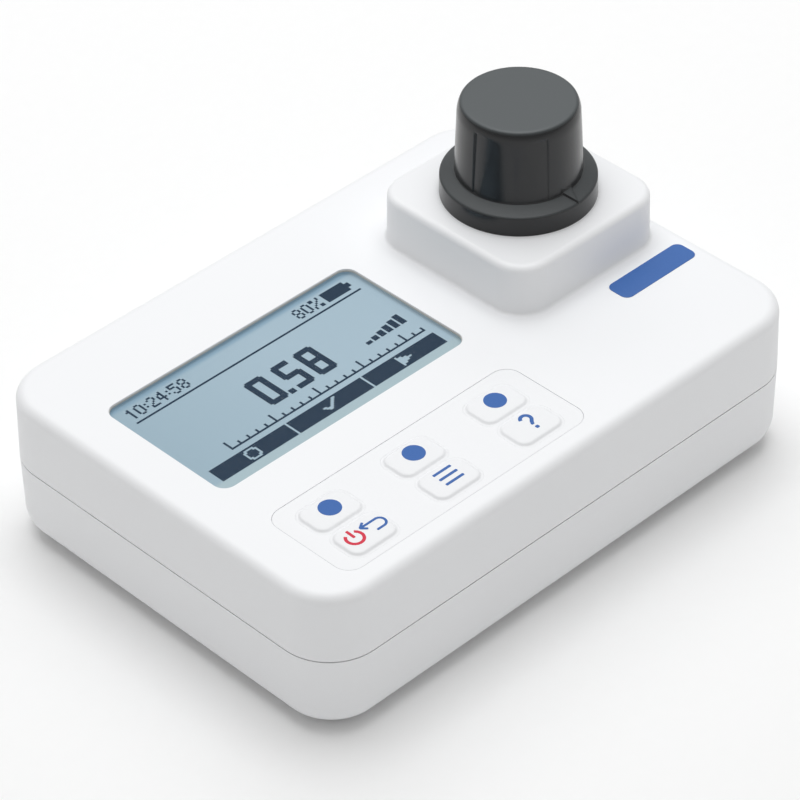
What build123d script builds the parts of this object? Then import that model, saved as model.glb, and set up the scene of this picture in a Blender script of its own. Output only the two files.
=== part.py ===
from build123d import *
import os
from math import cos, radians, sin, tan

os.makedirs("parts", exist_ok=True)

# Overall housing, millimetres, +Z up, feet stand on z = 0
CASE_W = 142.5
CASE_D = 102.5
CORNER_R = 12.5
WALL = 2.4
BASE_Z = 1.2
PART_Z = 20.5
SEAM = 0.3
TOP_Z = 37.4
UPPER_DRAFT = 1.1
LOWER_DRAFT = 1.0
TOP_FILLET = 2.5
BASE_FILLET = 6.0
FIT = 0.1

# Cuvette tower, kept at the right-hand end
TOWER_W = 45.5
TOWER_D = 46.0
TOWER_R = 8.0
TOWER_H = 12.35
TOWER_TOP = TOP_Z + TOWER_H
TOWER_DRAFT = 1.26
TOWER_X = CASE_W / 2 - 26.25
TOWER_Y = CASE_D / 2 - 42.05

# Display window opening: between the left-hand edge and the tower, above the keypad
WIN_X0 = -CASE_W / 2 + 11.41
WIN_X1 = TOWER_X - TOWER_W / 2 - 11.53
WIN_Y0 = -CASE_D / 2 + 42.07
WIN_Y1 = CASE_D / 2 - 23.13
WIN_R = 3.0
PANE_TOP = TOP_Z - 0.7
PANE_T = 0.7
PANE_LAP = 1.8
GLASS_LAP = 0.9
GLASS_Z0 = TOP_Z - 4.4
GLASS_Z1 = PANE_TOP - PANE_T - 0.05

# Keypad inlay and the three pairs of keys
PAD_X0 = WIN_X0
PAD_X1 = WIN_X1 - 0.5
PAD_Y0 = -CASE_D / 2 + 5.65
PAD_Y1 = PAD_Y0 + 24.7
PAD_R = 4.0
PAD_T = 0.9
PAD_MID = (PAD_X0 + PAD_X1) / 2
KEY_PITCH = (PAD_X1 - PAD_X0) * 0.3417
KEY_W = 13.5
KEY_D = 9.6
KEY_R = 3.0
KEY_X = (PAD_MID - 0.2 - KEY_PITCH, PAD_MID - 0.2, PAD_MID - 0.2 + KEY_PITCH)
KEY_Y = (PAD_Y0 + 16.6, PAD_Y0 + 6.6)
KEY_RISE = 0.8
KEY_FLANGE = 0.8
KEY_TRAVEL = 0.6
KEY_CLEAR = 0.12

# Boards
BOARD_T = 1.6
BOARD_Z = TOP_Z - 10.8
BOARD_TOP = BOARD_Z + BOARD_T
PAD_BOARD_Z = BOARD_TOP + 1.2
PAD_BOARD_TOP = PAD_BOARD_Z + BOARD_T

# Battery bay and its cover, under the display end
CELL_R = 7.15
CELL_L = 50.5
CELL_PITCH = 2 * CELL_R + 0.5
BAY_W = CELL_L + 3.5
BAY_D = 2 * CELL_PITCH + 2 * CELL_R + 2.6
BAY_WALL = 1.6
COVER_W = BAY_W + 12.0
COVER_D = BAY_D + 6.5
COVER_T = 2.0
BAY_X = -CASE_W / 2 + 8.25 + COVER_W / 2
FLOOR_T = 2.6
FLOOR = BASE_Z + FLOOR_T
COVER_IN = BASE_Z + COVER_T
PLUG_TOP = COVER_IN + 2.0
CELL_Z = PLUG_TOP + CELL_R + 0.35
BAY_TOP = CELL_Z + CELL_R + 0.4

# Cuvette well, cuvette, stopper and light shield
GLASS_R = 12.3
WELL_R = GLASS_R + 0.3
COLLAR_R = WELL_R + 1.0
WELL_FLOOR = 8.0
BLOCK_FOOT = WELL_FLOOR - 2.0
BLOCK_HALF = WELL_R + 6.0
HEAD_W = TOWER_W - 8.3
HEAD_D = TOWER_D - 8.8
BEAM_Z = WELL_FLOOR + 16.0
NECK_R = 8.4
SHOULDER_Z = TOWER_TOP - 3.25
NECK_TOP = TOWER_TOP + 12.25
STOPPER_R = NECK_R + 1.5
SHIELD_R = 17.4
SHIELD_TOP = 23.8
GRIP_R = 13.5
POINTER_ANGLE = -88.0
PADS_ANGLE = -144.6
PAD_HALF_ANGLE = 36.0

# Fasteners and feet, each a set distance in from the case's edges
SCREW_X = CASE_W / 2 - 10.25
SCREW_Y = CASE_D / 2 - 10.75
FOOT_X = CASE_W / 2 - 22.25
FOOT_Y = CASE_D / 2 - 11.25
FOOT_R = 4.5
BOSS_R = 3.5
CASE_SCREW_XY = [(sx * SCREW_X, sy * SCREW_Y) for sx in (-1, 1) for sy in (-1, 1)]
FOOT_XY = [(sx * FOOT_X, sy * FOOT_Y) for sx in (-1, 1) for sy in (-1, 1)]
COVER_SCREW_XY = [(BAY_X + sx * (BAY_W / 2 + 3.0), sy * 0.4 * BAY_D) for sx in (-1, 1) for sy in (-1, 1)]
BOARD_SCREW_XY = [(x, y) for x in (WIN_X0 - 5.6, WIN_X1 + 5.6) for y in (WIN_Y0 + 1.0, WIN_Y1 - 1.0)]
PAD_SCREW_XY = [((KEY_X[i] + KEY_X[i + 1]) / 2, PAD_Y0 + 11.6) for i in (0, 1)]


def save(node, shape):
    export_step(shape, f"parts/{node}.step")


def group(solids):
    return Compound(children=list(solids))


def slab(x0, x1, y0, y1, z0, z1, r=0.0, taper=0.0):
    w = x1 - x0
    d = y1 - y0
    plan = RectangleRounded(w, d, r) if r > 0 else Rectangle(w, d)
    return extrude(Pos((x0 + x1) / 2, (y0 + y1) / 2, z0) * plan, z1 - z0, taper=taper)


def block(w, d, z0, z1, r=0.0, taper=0.0, x=0.0, y=0.0):
    return slab(x - w / 2, x + w / 2, y - d / 2, y + d / 2, z0, z1, r, taper)


def cyl(x, y, z0, z1, r):
    return Pos(x, y, (z0 + z1) / 2) * Cylinder(r, z1 - z0)


def rod_x(x0, x1, y, z, r):
    return Pos((x0 + x1) / 2, y, z) * Rot(0, 90, 0) * Cylinder(r, x1 - x0)


def turned(points, x, y):
    # solid of revolution about the vertical line through x, y from (radius, z) points
    face = make_face(Plane.XZ * Polyline(*points, close=True))
    return Pos(x, y, 0) * revolve(face, Axis.Z)


def level_edges(shape, z, tol=0.02):
    return [e for e in shape.edges() if abs(e.bounding_box().min.Z - z) < tol
            and abs(e.bounding_box().max.Z - z) < tol]


# Upper case: drafted box, top edge rounded, tower grown from the top face
seam_top = PART_Z + SEAM / 2
seam_low = PART_Z - SEAM / 2
upper = block(CASE_W, CASE_D, seam_top, TOP_Z, CORNER_R, UPPER_DRAFT)
upper = fillet(level_edges(upper, TOP_Z), TOP_FILLET)
tower = block(TOWER_W, TOWER_D, TOP_Z - WALL, TOWER_TOP, TOWER_R, TOWER_DRAFT, TOWER_X, TOWER_Y)
tower = fillet(level_edges(tower, TOWER_TOP), 1.6)
upper = upper + tower
foot_box = (TOWER_X - TOWER_W / 2 - 1, TOWER_X + TOWER_W / 2 + 1,
            TOWER_Y - TOWER_D / 2 - 1, TOWER_Y + TOWER_D / 2 + 1)
tower_foot = []
for e in level_edges(upper, TOP_Z):
    low = e.bounding_box().min
    high = e.bounding_box().max
    if low.X > foot_box[0] and high.X < foot_box[1] and low.Y > foot_box[2] and high.Y < foot_box[3]:
        tower_foot.append(e)
upper = fillet(tower_foot, 0.7)
upper = upper - block(CASE_W - 2 * WALL, CASE_D - 2 * WALL, seam_top - 1, TOP_Z - WALL,
                      CORNER_R - WALL, UPPER_DRAFT)
upper = upper - block(TOWER_W - 6.4, TOWER_D - 6.4, TOP_Z - WALL - 1, TOWER_TOP - WALL,
                      TOWER_R - 3.2, TOWER_DRAFT, TOWER_X, TOWER_Y)
upper = upper - cyl(TOWER_X, TOWER_Y, TOWER_TOP - WALL - 1, TOWER_TOP + 1, COLLAR_R)

# Display window opening with the pane rebate on the inside
rebate = PANE_LAP + FIT
upper = upper - slab(WIN_X0, WIN_X1, WIN_Y0, WIN_Y1, TOP_Z - WALL - 1, TOP_Z + 1, WIN_R)
upper = upper - slab(WIN_X0 - rebate, WIN_X1 + rebate, WIN_Y0 - rebate, WIN_Y1 + rebate,
                     TOP_Z - WALL - 1, PANE_TOP, 1.2)

# Keypad pocket with a key opening for each key
upper = upper - slab(PAD_X0 - 0.05, PAD_X1 + 0.05, PAD_Y0 - 0.05, PAD_Y1 + 0.05,
                     TOP_Z - PAD_T, TOP_Z + 1, PAD_R + 0.05)
for kx in KEY_X:
    for ky in KEY_Y:
        upper = upper - block(KEY_W + 2 * KEY_CLEAR, KEY_D + 2 * KEY_CLEAR, TOP_Z - WALL - 1, TOP_Z + 1,
                              KEY_R + KEY_CLEAR, 0, kx, ky)

# Label pocket in front of the tower, case bosses, board bosses
TAG_X0 = TOWER_X - 0.48
TAG_X1 = TAG_X0 + 22.83
TAG_Y1 = TOWER_Y - 26.85
TAG_Y0 = TAG_Y1 - 6.3
upper = upper - slab(TAG_X0 - 0.05, TAG_X1 + 0.05, TAG_Y0 - 0.05, TAG_Y1 + 0.05,
                     TOP_Z - 0.3, TOP_Z + 1, 1.85)
for bx, by in CASE_SCREW_XY:
    upper = upper + cyl(bx, by, seam_top, TOP_Z - WALL + 0.3, BOSS_R)
    upper = upper - cyl(bx, by, seam_top - 1, TOP_Z - 6.4, 1.52)
for bx, by in BOARD_SCREW_XY:
    upper = upper + cyl(bx, by, BOARD_TOP, TOP_Z - WALL + 0.3, 2.6)
    upper = upper - cyl(bx, by, BOARD_Z, TOP_Z - 4.4, 1.02)
for bx, by in PAD_SCREW_XY:
    upper = upper + cyl(bx, by, PAD_BOARD_TOP, TOP_Z - WALL + 0.3, 2.4)
    upper = upper - cyl(bx, by, PAD_BOARD_Z, TOP_Z - 3.4, 1.02)
save("upper_case", upper)

# Lower case: drafted the other way, rounded underneath, battery bay rising inside
lower = Rot(180, 0, 0) * block(CASE_W, CASE_D, -seam_low, -BASE_Z, CORNER_R, LOWER_DRAFT)
lower = fillet(level_edges(lower, BASE_Z), BASE_FILLET)
cavity = Rot(180, 0, 0) * block(CASE_W - 2 * WALL, CASE_D - 2 * WALL, -seam_low - 1, -FLOOR,
                                CORNER_R - WALL, LOWER_DRAFT)
cavity = fillet(level_edges(cavity, FLOOR), BASE_FILLET - WALL)
lower = lower - cavity
lip_w = CASE_W - 2 * WALL - 2 * FIT
lip_d = CASE_D - 2 * WALL - 2 * FIT
lip_r = CORNER_R - WALL - FIT
lip = block(lip_w, lip_d, seam_low - 2.4, seam_low + 1.5, lip_r)
lip = lip - block(lip_w - 2.0, lip_d - 2.0, seam_low - 3, seam_low + 2, lip_r - 1.0)
root = block(lip_w + 1.6, lip_d + 1.6, seam_low - 2.4, seam_low - 0.6, lip_r + 0.8)
root = root - block(lip_w - 2.0, lip_d - 2.0, seam_low - 3, seam_low, lip_r - 1.0)
lower = lower + lip + root
lower = lower + block(BAY_W + 2 * BAY_WALL, BAY_D + 2 * BAY_WALL, FLOOR - 1, BAY_TOP + 1.8, 2.0, 0, BAY_X, 0)
lower = lower - block(BAY_W, BAY_D, BASE_Z - 1, BAY_TOP, 1.5, 0, BAY_X, 0)
lower = lower - block(COVER_W + 0.6, COVER_D + 0.6, BASE_Z - 1, COVER_IN, 4.3, 0, BAY_X, 0)
for bx, by in COVER_SCREW_XY:
    lower = lower + cyl(bx, by, COVER_IN, COVER_IN + 8.8, 2.9)
    lower = lower - cyl(bx, by, BASE_Z, COVER_IN + 6.8, 1.02)
for bx, by in CASE_SCREW_XY:
    lower = lower + cyl(bx, by, FLOOR - 1, seam_top - 0.05, BOSS_R)
    lower = lower - cyl(bx, by, BASE_Z - 1, BASE_Z + 3.2, 2.8)
    lower = lower - cyl(bx, by, BASE_Z, seam_top + 1, 1.7)
for bx, by in FOOT_XY:
    lower = lower - cyl(bx, by, BASE_Z - 1, BASE_Z + 0.8, FOOT_R + 0.1)
post_in = BLOCK_HALF - 4.1
for sx in (-1, 1):
    for sy in (-1, 1):
        lower = lower + cyl(TOWER_X + sx * post_in, TOWER_Y + sy * post_in, FLOOR - 0.5, BLOCK_FOOT, 2.5)
save("lower_case", lower)

# Seal ring in the seam
gasket = block(CASE_W - 0.7, CASE_D - 0.7, seam_low, seam_top, CORNER_R - 0.35)
gasket = gasket - block(CASE_W - 4.4, CASE_D - 4.4, seam_low - 1, seam_top + 1, CORNER_R - 2.2)
save("case_gasket", gasket)

# Case screws with hexagon sockets, driven from underneath
screws = []
for bx, by in CASE_SCREW_XY:
    s = cyl(bx, by, BASE_Z + 1.0, BASE_Z + 3.2, 2.6) + cyl(bx, by, BASE_Z + 3.2, TOP_Z - 7.4, 1.5)
    s = s - extrude(Pos(bx, by, BASE_Z) * RegularPolygon(1.4, 6), 2.2)
    screws.append(s)
save("case_screws", group(screws))

# Rubber feet in round pockets
feet = []
for bx, by in FOOT_XY:
    f = cyl(bx, by, 0.0, BASE_Z + 0.8, FOOT_R)
    feet.append(chamfer(level_edges(f, 0.0), 0.5))
save("rubber_feet", group(feet))

# Display stack: pane in its rebate, glass, light guide, metal frame on four legs, ribbon to the board
pane = slab(WIN_X0 - PANE_LAP, WIN_X1 + PANE_LAP, WIN_Y0 - PANE_LAP, WIN_Y1 + PANE_LAP,
            PANE_TOP - PANE_T, PANE_TOP, 1.1)
save("display_window", pane)
LCD = (WIN_X0 - GLASS_LAP, WIN_X1 + GLASS_LAP, WIN_Y0 - GLASS_LAP, WIN_Y1 + GLASS_LAP)
save("lcd_glass", slab(*LCD, GLASS_Z0, GLASS_Z1))
GUIDE_Z0 = GLASS_Z0 - 2.4
light = slab(LCD[0] + 0.4, LCD[1] - 0.4, LCD[2] + 0.4, LCD[3] - 0.4, GUIDE_Z0, GLASS_Z0)
light = light + slab(LCD[0] + 6, LCD[0] + 14, LCD[3] - 1, LCD[3], GUIDE_Z0 + 0.3, GUIDE_Z0 + 1.8)
save("lcd_backlight", light)
FRAME_Z0 = GUIDE_Z0 - 0.6
frame = slab(LCD[0] - 0.9, LCD[1] + 0.9, LCD[2] - 0.9, LCD[3] + 0.9, FRAME_Z0, PANE_TOP - PANE_T, 1.0)
frame = frame - slab(*LCD, GUIDE_Z0, TOP_Z)
slot_mid = (LCD[0] + LCD[1]) / 2
frame = frame - slab(slot_mid - 16, slot_mid + 16, LCD[2] - 2, LCD[2] + 1, GUIDE_Z0 + 0.6, GLASS_Z0 + 0.6)
for fx in (LCD[0] + 2, LCD[1] - 2):
    for fy in (LCD[2] + 2, LCD[3] - 2):
        frame = frame + cyl(fx, fy, BOARD_TOP, FRAME_Z0 + 0.3, 1.8)
save("lcd_frame", frame)
ribbon_path = [(LCD[2], GLASS_Z0 + 0.2), (LCD[2] - 2.2, GLASS_Z0 + 0.2), (LCD[2] - 2.2, BOARD_TOP),
               (LCD[2] - 2.4, BOARD_TOP), (LCD[2] - 2.4, GLASS_Z0 + 0.4), (LCD[2], GLASS_Z0 + 0.4)]
ribbon = extrude(make_face(Plane.YZ * Polyline(*ribbon_path, close=True)), 15.0, both=True)
save("lcd_ribbon", Pos(slot_mid, 0, 0) * ribbon)

# Keypad inlay, keys, switches and their board
panel = slab(PAD_X0, PAD_X1, PAD_Y0, PAD_Y1, TOP_Z - PAD_T, TOP_Z, PAD_R)
panel = chamfer(level_edges(panel, TOP_Z), 0.12)
for kx in KEY_X:
    for ky in KEY_Y:
        panel = panel - block(KEY_W + 2 * KEY_CLEAR, KEY_D + 2 * KEY_CLEAR, TOP_Z - WALL, TOP_Z + 1,
                              KEY_R + KEY_CLEAR, 0, kx, ky)
save("keypad_panel", panel)
KEY_MID = (KEY_Y[0] + KEY_Y[1]) / 2


def key(kx, ky):
    under = TOP_Z - WALL
    body = block(KEY_W, KEY_D, under - KEY_FLANGE, TOP_Z + KEY_RISE, KEY_R, 0, kx, ky)
    body = fillet(level_edges(body, TOP_Z + KEY_RISE), 0.7)
    out = 1.0 if ky > KEY_MID else -1.0
    flange = block(KEY_W + 2.0, KEY_D + 0.5, under - KEY_FLANGE, under, 1.5, 0, kx, ky + out * 0.75)
    return body + flange


key_names = {(0, 0): "key_left", (1, 0): "key_middle", (2, 0): "key_right",
             (0, 1): "key_power", (1, 1): "key_menu", (2, 1): "key_help"}
for (i, j), name in key_names.items():
    save(name, key(KEY_X[i], KEY_Y[j]))
pad_board = slab(KEY_X[0] - KEY_W / 2, KEY_X[2] + KEY_W / 2 + 3, PAD_Y0 + 1.5, PAD_Y0 + 23.0,
                 PAD_BOARD_Z, PAD_BOARD_TOP, 1.5)
for bx, by in PAD_SCREW_XY:
    pad_board = pad_board - cyl(bx, by, BOARD_Z, TOP_Z, 1.15)
save("keypad_board", pad_board)
switches = []
switch_top = TOP_Z - WALL - KEY_FLANGE - KEY_TRAVEL - 0.1
for kx in KEY_X:
    for ky in KEY_Y:
        t = block(6.0, 6.0, PAD_BOARD_TOP, PAD_BOARD_TOP + 2.0, 0.4, 0, kx, ky)
        switches.append(t + cyl(kx, ky, PAD_BOARD_TOP + 1.9, switch_top, 1.75))
save("tact_switches", group(switches))

# Main board with its parts; their places are shares of the board's size
MB = (-CASE_W / 2 + 6.25, WIN_X1 + 7.8, -CASE_D / 2 + 11.25, CASE_D / 2 - 11.25)
board = slab(*MB, BOARD_Z, BOARD_TOP, 2.0)
for bx, by in CASE_SCREW_XY:
    board = board - cyl(bx, by, BOARD_Z - 5, TOP_Z, BOSS_R + 0.8)
for bx, by in BOARD_SCREW_XY:
    board = board - cyl(bx, by, BOARD_Z - 5, TOP_Z, 1.15)
save("main_board", board)


def on_board(u, v):
    return MB[0] + u * (MB[1] - MB[0]), MB[2] + v * (MB[3] - MB[2])


chips = []
for u, v, w, d, h in ((0.43, 0.61, 10, 10, 1.0), (0.68, 0.51, 8, 5, 1.2), (0.19, 0.74, 6, 6, 1.1),
                      (0.65, 0.76, 6, 8, 1.0), (0.83, 0.62, 4, 4, 1.1), (0.2, 0.51, 4, 6, 0.9)):
    x, y = on_board(u, v)
    chips.append(block(w, d, BOARD_TOP, BOARD_TOP + h, 0, 0, x, y))
save("board_chips", group(chips))
link_x = (PAD_SCREW_XY[0][0] + PAD_SCREW_XY[1][0]) / 2
link_w = PAD_SCREW_XY[1][0] - PAD_SCREW_XY[0][0] - 5.0
link = block(link_w, 4.0, BOARD_TOP, PAD_BOARD_Z, 0, 0, link_x, MB[2] + 4.0)
save("board_link", link)
fix = []
for bx, by in BOARD_SCREW_XY:
    fix.append(cyl(bx, by, BOARD_Z - 1.4, BOARD_Z, 1.9) + cyl(bx, by, BOARD_Z - 0.1, TOP_Z - 5.4, 1.0))
for bx, by in PAD_SCREW_XY:
    head = cyl(bx, by, PAD_BOARD_Z - 1.0, PAD_BOARD_Z, 1.9)
    fix.append(head + cyl(bx, by, PAD_BOARD_Z - 0.1, TOP_Z - 3.8, 1.0))
save("board_screws", group(fix))
bz_x, bz_y = on_board(0.85, 0.83)
sounder = cyl(bz_x, bz_y, BOARD_Z - 4.0, BOARD_Z, 5.5) - cyl(bz_x, bz_y, BOARD_Z - 5, BOARD_Z - 2.8, 1.2)
save("buzzer", sounder)

# Optical block with the round well and the light path across it
half = BLOCK_HALF
well_top = TOWER_TOP - WALL
core = block(2 * half, 2 * half, BLOCK_FOOT, TOP_Z - WALL, 3.0, 0, TOWER_X, TOWER_Y)
core = core + block(HEAD_W, HEAD_D, TOP_Z - WALL, well_top, 3.0, 0, TOWER_X, TOWER_Y)
core = core - cyl(TOWER_X, TOWER_Y, WELL_FLOOR, TOWER_TOP, WELL_R)
core = core - cyl(TOWER_X, TOWER_Y, well_top - 2.85, TOWER_TOP, COLLAR_R)
core = core - rod_x(TOWER_X - half - 1, TOWER_X, TOWER_Y, BEAM_Z, 2.6)
core = core - rod_x(TOWER_X - half - 1, TOWER_X - half + 1.2, TOWER_Y, BEAM_Z, 3.1)
core = core - rod_x(TOWER_X - WELL_R - 2.4, TOWER_X - WELL_R + 1, TOWER_Y, BEAM_Z, 3.05)
core = core - rod_x(TOWER_X, TOWER_X + half + 1, TOWER_Y, BEAM_Z, 2.2)
core = core - rod_x(TOWER_X + WELL_R + 1.0, TOWER_X + half + 1, TOWER_Y, BEAM_Z, 4.25)
save("optical_block", core)
rim = TOWER_TOP
collar = turned([(WELL_R, well_top - 2.85), (COLLAR_R, well_top - 2.85), (COLLAR_R, rim),
                 (COLLAR_R + 1.3, rim), (COLLAR_R + 1.3, rim + 1.3), (COLLAR_R + 0.9, rim + 1.7),
                 (WELL_R + 0.6, rim + 1.7), (WELL_R, rim + 1.1)], TOWER_X, TOWER_Y)
save("well_collar", collar)
left = TOWER_X - half
led = rod_x(left - 1.0, left + 1.2, TOWER_Y, BEAM_Z, 3.0)
led = led + rod_x(left, TOWER_X - WELL_R - 2.8, TOWER_Y, BEAM_Z, 2.5)
lamp_board = slab(left - 2.6, left - 1.0, TOWER_Y - 7, TOWER_Y + 7, BEAM_Z - 9, BEAM_Z + 9)
right = TOWER_X + half
eye = rod_x(TOWER_X + WELL_R + 3.0, right, TOWER_Y, BEAM_Z, 4.1)
eye_board = slab(right, right + 1.6, TOWER_Y - 9, TOWER_Y + 9, BEAM_Z - 10, BEAM_Z + 10)
for dy in (-1.27, 1.27):
    led = led + rod_x(left - 3.4, left - 0.9, TOWER_Y + dy, BEAM_Z, 0.35)
    lamp_board = lamp_board - rod_x(left - 4, left, TOWER_Y + dy, BEAM_Z, 0.4)
    eye = eye + rod_x(right - 0.1, right + 2.2, TOWER_Y + dy, BEAM_Z, 0.35)
    eye_board = eye_board - rod_x(right - 1, right + 3, TOWER_Y + dy, BEAM_Z, 0.4)
save("lamp_led", led)
save("lamp_board", lamp_board)
save("photodetector", eye)
save("detector_board", eye_board)
save("lamp_lens", rod_x(TOWER_X - WELL_R - 2.4, TOWER_X - WELL_R - 0.8, TOWER_Y, BEAM_Z, 3.0))
save("interference_filter", rod_x(TOWER_X + WELL_R + 1.0, TOWER_X + WELL_R + 3.0, TOWER_Y, BEAM_Z, 4.2))

# Cells side by side, leaf contacts at their ends
cells = []
for j in (-1, 0, 1):
    turn = 1 if j != 0 else -1
    c = rod_x(BAY_X - CELL_L / 2, BAY_X + CELL_L / 2 - 1.2, j * CELL_PITCH, CELL_Z, CELL_R)
    c = c + rod_x(BAY_X + CELL_L / 2 - 1.3, BAY_X + CELL_L / 2, j * CELL_PITCH, CELL_Z, 2.7)
    if turn < 0:
        c = Pos(BAY_X, 0, 0) * Rot(0, 0, 180) * Pos(-BAY_X, 0, 0) * c
    cells.append(c)
save("battery_cells", group(cells))
contacts = []
for j in (-1, 0, 1):
    for side in (-1, 1):
        wall_x = BAY_X + side * BAY_W / 2
        tip_x = BAY_X + side * CELL_L / 2
        y0 = j * CELL_PITCH
        leaf = [(wall_x, CELL_Z - 5.2), (wall_x, CELL_Z + 5.8), (wall_x - side * 0.4, CELL_Z + 5.8),
                (wall_x - side * 0.4, CELL_Z + 3.8),
                (tip_x, CELL_Z + 0.8), (tip_x, CELL_Z - 0.8), (tip_x + side * 0.4, CELL_Z - 0.8),
                (tip_x + side * 0.4, CELL_Z + 0.6), (wall_x - side * 0.4, CELL_Z + 3.1),
                (wall_x - side * 0.4, CELL_Z - 5.2)]
        face = make_face(Plane.XZ * Polyline(*leaf, close=True))
        contacts.append(Pos(0, y0, 0) * extrude(face, 3.0, both=True))
save("battery_contacts", group(contacts))

# Battery cover with spigot, seal and captive screws
cover = block(COVER_W, COVER_D, BASE_Z, BASE_Z + COVER_T, 4.0, 0, BAY_X, 0)
cover = chamfer(level_edges(cover, BASE_Z), 0.4)
plug = block(BAY_W - 0.6, BAY_D - 0.6, COVER_IN, PLUG_TOP, 1.3, 0, BAY_X, 0)
groove = block(BAY_W, BAY_D, COVER_IN + 0.4, PLUG_TOP - 0.4, 1.5, 0, BAY_X, 0)
groove = groove - block(BAY_W - 2.2, BAY_D - 2.2, BASE_Z, PLUG_TOP + 1, 0.6, 0, BAY_X, 0)
plug = plug - groove - block(BAY_W - 5.0, BAY_D - 5.0, COVER_IN - 0.8, PLUG_TOP + 1, 0.6, 0, BAY_X, 0)
cover = cover + plug
for bx, by in COVER_SCREW_XY:
    cover = cover - cyl(bx, by, 0, PLUG_TOP, 1.15)
    cover = cover - cyl(bx, by, 0, BASE_Z + 1.4, 2.15)
save("battery_cover", cover)
fix = []
for bx, by in COVER_SCREW_XY:
    s = cyl(bx, by, BASE_Z + 0.3, BASE_Z + 1.4, 2.0)
    s = s + cyl(bx, by, BASE_Z + 1.3, COVER_IN + 6.3, 1.0)
    s = s - block(0.7, 2.6, BASE_Z, BASE_Z + 0.9, 0, 0, bx, by)
    s = s - block(2.6, 0.7, BASE_Z, BASE_Z + 0.9, 0, 0, bx, by)
    fix.append(s)
save("cover_screws", group(fix))
seal = block(BAY_W - 0.1, BAY_D - 0.1, COVER_IN + 0.4, PLUG_TOP - 0.4, 1.5, 0, BAY_X, 0)
seal = seal - block(BAY_W - 2.2, BAY_D - 2.2, BASE_Z, PLUG_TOP + 1, 0.6, 0, BAY_X, 0)
save("battery_cover_seal", seal)

# Printed colour label beside the tower
save("tag_label", slab(TAG_X0, TAG_X1, TAG_Y0, TAG_Y1, TOP_Z - 0.3, TOP_Z + 0.06, 1.8))

# Round cuvette: thick base, shoulder, threaded neck left plain
inner = GLASS_R - 1.2
vial = turned([(0, WELL_FLOOR), (GLASS_R - 1.0, WELL_FLOOR), (GLASS_R, WELL_FLOOR + 1.0),
               (GLASS_R, SHOULDER_Z), (GLASS_R - 1.1, SHOULDER_Z + 2.1), (NECK_R, SHOULDER_Z + 3.7),
               (NECK_R, NECK_TOP),
               (NECK_R - 1.0, NECK_TOP), (NECK_R - 1.0, SHOULDER_Z + 3.9), (inner - 0.5, SHOULDER_Z + 0.1),
               (inner, SHOULDER_Z - 0.5), (inner, WELL_FLOOR + 2.4), (inner - 0.9, WELL_FLOOR + 1.6),
               (0, WELL_FLOOR + 1.6)], TOWER_X, TOWER_Y)
save("cuvette_glass", vial)
skirt = SHOULDER_Z + 5.1
crown = NECK_TOP + 2.4
stopper = turned([(NECK_R + 0.2, skirt), (STOPPER_R, skirt), (STOPPER_R, crown - 0.6),
                  (STOPPER_R - 0.5, crown), (0, crown), (0, NECK_TOP + 0.8),
                  (NECK_R + 0.2, NECK_TOP + 0.8)], TOWER_X, TOWER_Y)
for k in range(18):
    a = radians(20.0 * k)
    reach = STOPPER_R + 0.35
    notch = cyl(TOWER_X + reach * cos(a), TOWER_Y + reach * sin(a), skirt + 0.8, crown - 1.4, 0.75)
    stopper = stopper - notch
save("cuvette_cap", stopper)
save("cuvette_cap_liner", cyl(TOWER_X, TOWER_Y, NECK_TOP, NECK_TOP + 0.8, NECK_R + 0.1))

# Light shield: skirt, sloping shoulder, tapered grip with three inset pads, pointer on the shoulder
z0 = TOWER_TOP
foot_r = GRIP_R + 0.6
with BuildSketch(Plane.XZ) as prof:
    with BuildLine():
        a = Polyline((0, z0 + SHIELD_TOP - 1.8), (STOPPER_R + 1.2, z0 + SHIELD_TOP - 1.8),
                     (foot_r - 1.9, z0 + 5.2), (SHIELD_R - 1.7, z0 + 3.8), (SHIELD_R - 1.7, z0),
                     (SHIELD_R, z0), (SHIELD_R - 0.1, z0 + 4.5), (SHIELD_R - 0.35, z0 + 4.75),
                     (foot_r, z0 + 6.0), (GRIP_R, z0 + SHIELD_TOP - 3.6))
        b = Spline((GRIP_R, z0 + SHIELD_TOP - 3.6), (GRIP_R - 0.45, z0 + SHIELD_TOP - 0.9),
                   (GRIP_R - 1.4, z0 + SHIELD_TOP), tangents=[(-0.03, 1.0), (-1.0, 0.05)])
        c = Polyline((GRIP_R - 1.4, z0 + SHIELD_TOP), (0, z0 + SHIELD_TOP), (0, z0 + SHIELD_TOP - 1.8))
    make_face()
shield = revolve(prof.sketch, Axis.Z)
shift = 2.0
floor_r = GRIP_R - shift
pad_low = 6.3
pad_high = SHIELD_TOP - 2.2
for k in range(3):
    mid = PADS_ANGLE + 120.0 * k
    rise = pad_high - pad_low
    pad_floor = extrude(Pos(shift, 0, z0 + pad_high) * Circle(floor_r), -rise, taper=-3.2)
    far = 2 * GRIP_R
    sector = Polyline((0, 0), (far * cos(radians(PAD_HALF_ANGLE)), -far * sin(radians(PAD_HALF_ANGLE))),
                      (far * cos(radians(PAD_HALF_ANGLE)), far * sin(radians(PAD_HALF_ANGLE))), close=True)
    sector = extrude(Pos(0, 0, z0 + pad_low) * make_face(sector), rise)
    shield = shield - Rot(0, 0, mid) * (sector - pad_floor)
base = foot_r - 1.4
tip = SHIELD_R - 0.1
plan = make_face(Polyline((base, -1.9), (tip, 0.0), (base, 1.9), close=True))
side_view = make_face(Plane.XZ * Polyline((base, z0 + 4.0), (tip + 1, z0 + 4.0), (tip + 1, z0 + 4.7),
                                          (base, z0 + 7.3), close=True))
pointer = extrude(Pos(0, 0, z0 + 4.0) * plan, 6) & extrude(side_view, 3, both=True)
shield = shield + Rot(0, 0, POINTER_ANGLE) * pointer
save("light_shield_cap", Pos(TOWER_X, TOWER_Y, 0) * shield)
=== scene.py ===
import bpy
from math import radians, sin, cos
from mathutils import Vector, Matrix


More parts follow.
